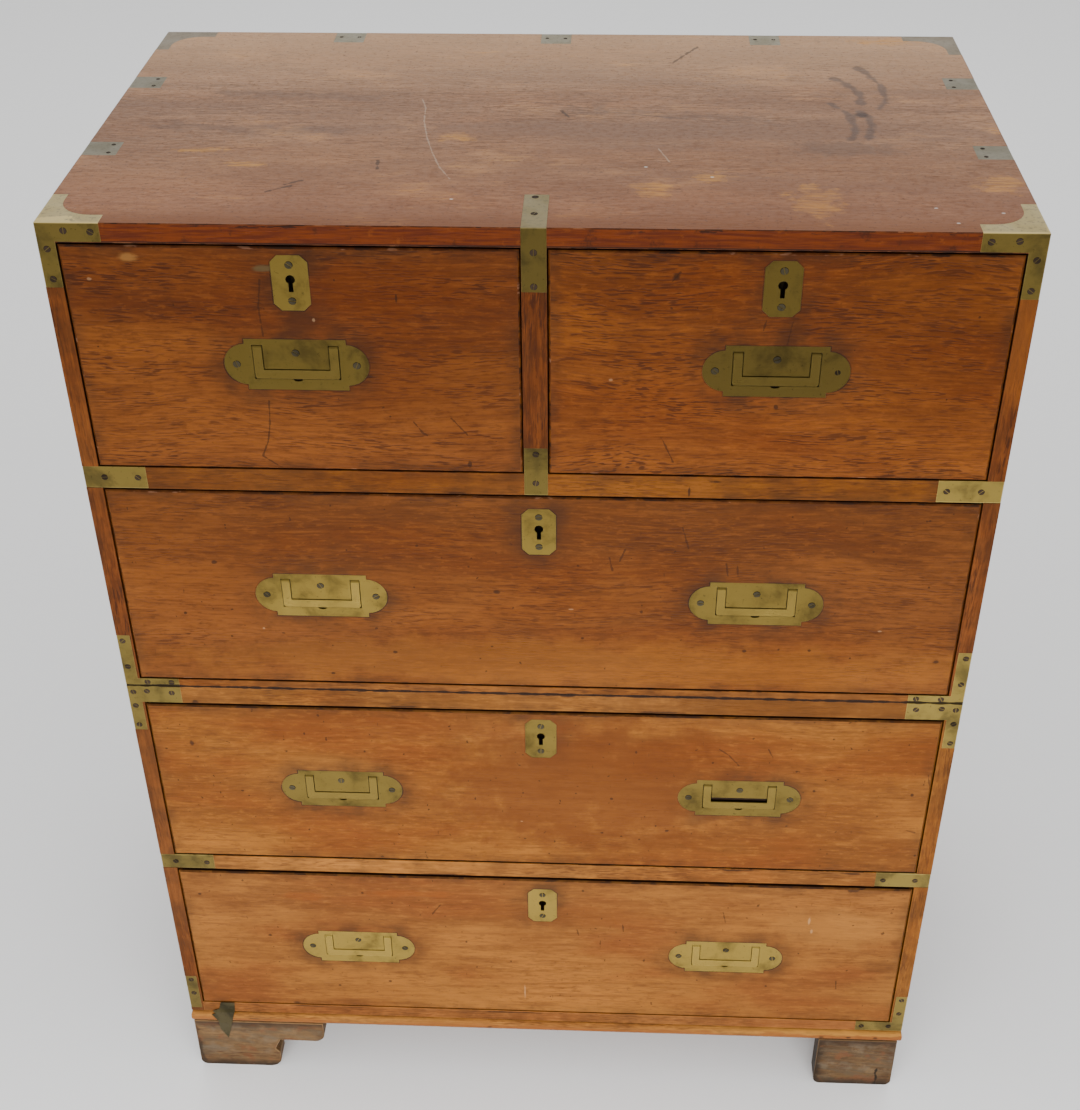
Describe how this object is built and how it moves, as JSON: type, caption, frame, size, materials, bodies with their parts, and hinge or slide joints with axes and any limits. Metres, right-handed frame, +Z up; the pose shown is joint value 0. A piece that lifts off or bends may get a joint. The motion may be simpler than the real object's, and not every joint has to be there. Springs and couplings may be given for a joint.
{
  "type": "campaign chest",
  "caption": "Two-part hardwood campaign chest of drawers with flush brass handles, inlaid corner brackets and bracket feet, one of them short of its scrolled wing.",
  "frame": {"origin": "on the floor, under the middle of the chest", "axes": "+X to the right as seen from the front, the drawers face -Y, +Z up"},
  "size_m": [0.791, 0.466, 1.0383],
  "materials": {
    "case_wood": "waxed, worn",
    "top_wood": "waxed, hazy and marked",
    "front_wood": "waxed, worn",
    "pale_wood": "bare, planed",
    "foot_wood": "weathered",
    "moulding_wood": "waxed, worn",
    "brass": "aged, dull",
    "strap_brass": "aged, dull",
    "bail_brass": "worn bright",
    "bolt_brass": "plain"
  },
  "bodies": {
    "lower_case": {"lower_left_side": "case_wood", "lower_right_side": "case_wood", "lower_top_board": "case_wood", "lower_bottom_board": "case_wood", "lower_back_board": "pale_wood", "lower_drawer_rail": "case_wood", "lower_runners": "pale_wood", "lower_corner_brackets": "strap_brass", "lower_straps": "strap_brass", "lower_carrying_plates": "brass", "locating_pegs": "pale_wood", "base_moulding": "moulding_wood", "front_left_foot": "foot_wood", "front_right_foot": "foot_wood", "rear_feet": "foot_wood"},
    "upper_case": {"upper_left_side": "case_wood", "upper_right_side": "case_wood", "upper_top_board": "top_wood", "upper_bottom_board": "case_wood", "upper_back_board": "pale_wood", "upper_drawer_rail": "case_wood", "drawer_divider": "case_wood", "upper_runners": "pale_wood", "upper_corner_brackets": "strap_brass", "upper_straps": "strap_brass", "upper_carrying_plates": "brass"},
    "short_left_drawer": {"short_left_drawer_front": "front_wood", "short_left_drawer_box": "pale_wood", "short_left_drawer_fittings": "brass"},
    "short_left_drawer_bail": {"short_left_drawer_bail": "bail_brass"},
    "short_left_drawer_lock_bolt": {"short_left_drawer_lock_bolt": "bolt_brass"},
    "short_right_drawer": {"short_right_drawer_front": "front_wood", "short_right_drawer_box": "pale_wood", "short_right_drawer_fittings": "brass"},
    "short_right_drawer_bail": {"short_right_drawer_bail": "bail_brass"},
    "short_right_drawer_lock_bolt": {"short_right_drawer_lock_bolt": "bolt_brass"},
    "upper_long_drawer": {"upper_long_drawer_front": "front_wood", "upper_long_drawer_box": "pale_wood", "upper_long_drawer_fittings": "brass"},
    "upper_long_drawer_left_bail": {"upper_long_drawer_left_bail": "bail_brass"},
    "upper_long_drawer_right_bail": {"upper_long_drawer_right_bail": "bail_brass"},
    "upper_long_drawer_lock_bolt": {"upper_long_drawer_lock_bolt": "bolt_brass"},
    "middle_long_drawer": {"middle_long_drawer_front": "front_wood", "middle_long_drawer_box": "pale_wood", "middle_long_drawer_fittings": "brass"},
    "middle_long_drawer_left_bail": {"middle_long_drawer_left_bail": "bail_brass"},
    "middle_long_drawer_right_bail": {"middle_long_drawer_right_bail": "bail_brass"},
    "middle_long_drawer_lock_bolt": {"middle_long_drawer_lock_bolt": "bolt_brass"},
    "lowest_long_drawer": {"lowest_long_drawer_front": "front_wood", "lowest_long_drawer_box": "pale_wood", "lowest_long_drawer_fittings": "brass"},
    "lowest_long_drawer_left_bail": {"lowest_long_drawer_left_bail": "bail_brass"},
    "lowest_long_drawer_right_bail": {"lowest_long_drawer_right_bail": "bail_brass"},
    "lowest_long_drawer_lock_bolt": {"lowest_long_drawer_lock_bolt": "bolt_brass"},
    "upper_left_carrying_bail": {"upper_left_carrying_bail": "bail_brass"},
    "upper_right_carrying_bail": {"upper_right_carrying_bail": "bail_brass"},
    "lower_left_carrying_bail": {"lower_left_carrying_bail": "bail_brass"},
    "lower_right_carrying_bail": {"lower_right_carrying_bail": "bail_brass"}
  },
  "joints": [
    {"name": "upper_case_lift", "type": "slide", "parent": "lower_case", "child": "upper_case", "axis": [0, 0, 1], "range_m": [0, 0.06]},
    {"name": "short_left_drawer_slide", "type": "slide", "parent": "upper_case", "child": "short_left_drawer", "axis": [0, -1, 0], "range_m": [0, 0.33]},
    {"name": "short_left_drawer_bail_swing", "type": "hinge", "parent": "short_left_drawer", "child": "short_left_drawer_bail", "pos_m": [-0.1975, -0.2286, 0.9295], "axis": [-1, 0, 0], "range_deg": [0, 90]},
    {"name": "short_left_drawer_lock_bolt_throw", "type": "slide", "parent": "short_left_drawer", "child": "short_left_drawer_lock_bolt", "axis": [0, 0, 1], "range_m": [0, 0.01]},
    {"name": "short_right_drawer_slide", "type": "slide", "parent": "upper_case", "child": "short_right_drawer", "axis": [0, -1, 0], "range_m": [0, 0.33]},
    {"name": "short_right_drawer_bail_swing", "type": "hinge", "parent": "short_right_drawer", "child": "short_right_drawer_bail", "pos_m": [0.194, -0.2286, 0.9295], "axis": [-1, 0, 0], "range_deg": [0, 90]},
    {"name": "short_right_drawer_lock_bolt_throw", "type": "slide", "parent": "short_right_drawer", "child": "short_right_drawer_lock_bolt", "axis": [0, 0, 1], "range_m": [0, 0.01]},
    {"name": "upper_long_drawer_slide", "type": "slide", "parent": "upper_case", "child": "upper_long_drawer", "axis": [0, -1, 0], "range_m": [0, 0.33]},
    {"name": "upper_long_drawer_left_bail_swing", "type": "hinge", "parent": "upper_long_drawer", "child": "upper_long_drawer_left_bail", "pos_m": [-0.1975, -0.2286, 0.6927], "axis": [-1, 0, 0], "range_deg": [0, 90]},
    {"name": "upper_long_drawer_right_bail_swing", "type": "hinge", "parent": "upper_long_drawer", "child": "upper_long_drawer_right_bail", "pos_m": [0.194, -0.2286, 0.6927], "axis": [-1, 0, 0], "range_deg": [0, 90]},
    {"name": "upper_long_drawer_lock_bolt_throw", "type": "slide", "parent": "upper_long_drawer", "child": "upper_long_drawer_lock_bolt", "axis": [0, 0, 1], "range_m": [0, 0.01]},
    {"name": "middle_long_drawer_slide", "type": "slide", "parent": "lower_case", "child": "middle_long_drawer", "axis": [0, -1, 0], "range_m": [0, 0.33]},
    {"name": "middle_long_drawer_left_bail_swing", "type": "hinge", "parent": "middle_long_drawer", "child": "middle_long_drawer_left_bail", "pos_m": [-0.1975, -0.2286, 0.4532], "axis": [-1, 0, 0], "range_deg": [0, 90]},
    {"name": "middle_long_drawer_right_bail_swing", "type": "hinge", "parent": "middle_long_drawer", "child": "middle_long_drawer_right_bail", "pos_m": [0.194, -0.2286, 0.4532], "axis": [-1, 0, 0], "range_deg": [0, 90]},
    {"name": "middle_long_drawer_lock_bolt_throw", "type": "slide", "parent": "middle_long_drawer", "child": "middle_long_drawer_lock_bolt", "axis": [0, 0, 1], "range_m": [0, 0.01]},
    {"name": "lowest_long_drawer_slide", "type": "slide", "parent": "lower_case", "child": "lowest_long_drawer", "axis": [0, -1, 0], "range_m": [0, 0.33]},
    {"name": "lowest_long_drawer_left_bail_swing", "type": "hinge", "parent": "lowest_long_drawer", "child": "lowest_long_drawer_left_bail", "pos_m": [-0.1975, -0.2286, 0.221], "axis": [-1, 0, 0], "range_deg": [0, 90]},
    {"name": "lowest_long_drawer_right_bail_swing", "type": "hinge", "parent": "lowest_long_drawer", "child": "lowest_long_drawer_right_bail", "pos_m": [0.194, -0.2286, 0.221], "axis": [-1, 0, 0], "range_deg": [0, 90]},
    {"name": "lowest_long_drawer_lock_bolt_throw", "type": "slide", "parent": "lowest_long_drawer", "child": "lowest_long_drawer_lock_bolt", "axis": [0, 0, 1], "range_m": [0, 0.01]},
    {"name": "upper_left_carrying_bail_swing", "type": "hinge", "parent": "upper_case", "child": "upper_left_carrying_bail", "pos_m": [-0.3916, 0.001, 0.8671], "axis": [0, 1, 0], "range_deg": [0, 90]},
    {"name": "upper_right_carrying_bail_swing", "type": "hinge", "parent": "upper_case", "child": "upper_right_carrying_bail", "pos_m": [0.3916, 0.001, 0.8671], "axis": [0, -1, 0], "range_deg": [0, 90]},
    {"name": "lower_left_carrying_bail_swing", "type": "hinge", "parent": "lower_case", "child": "lower_left_carrying_bail", "pos_m": [-0.3916, 0.001, 0.4088], "axis": [0, 1, 0], "range_deg": [0, 90]},
    {"name": "lower_right_carrying_bail_swing", "type": "hinge", "parent": "lower_case", "child": "lower_right_carrying_bail", "pos_m": [0.3916, 0.001, 0.4088], "axis": [0, -1, 0], "range_deg": [0, 90]}
  ]
}
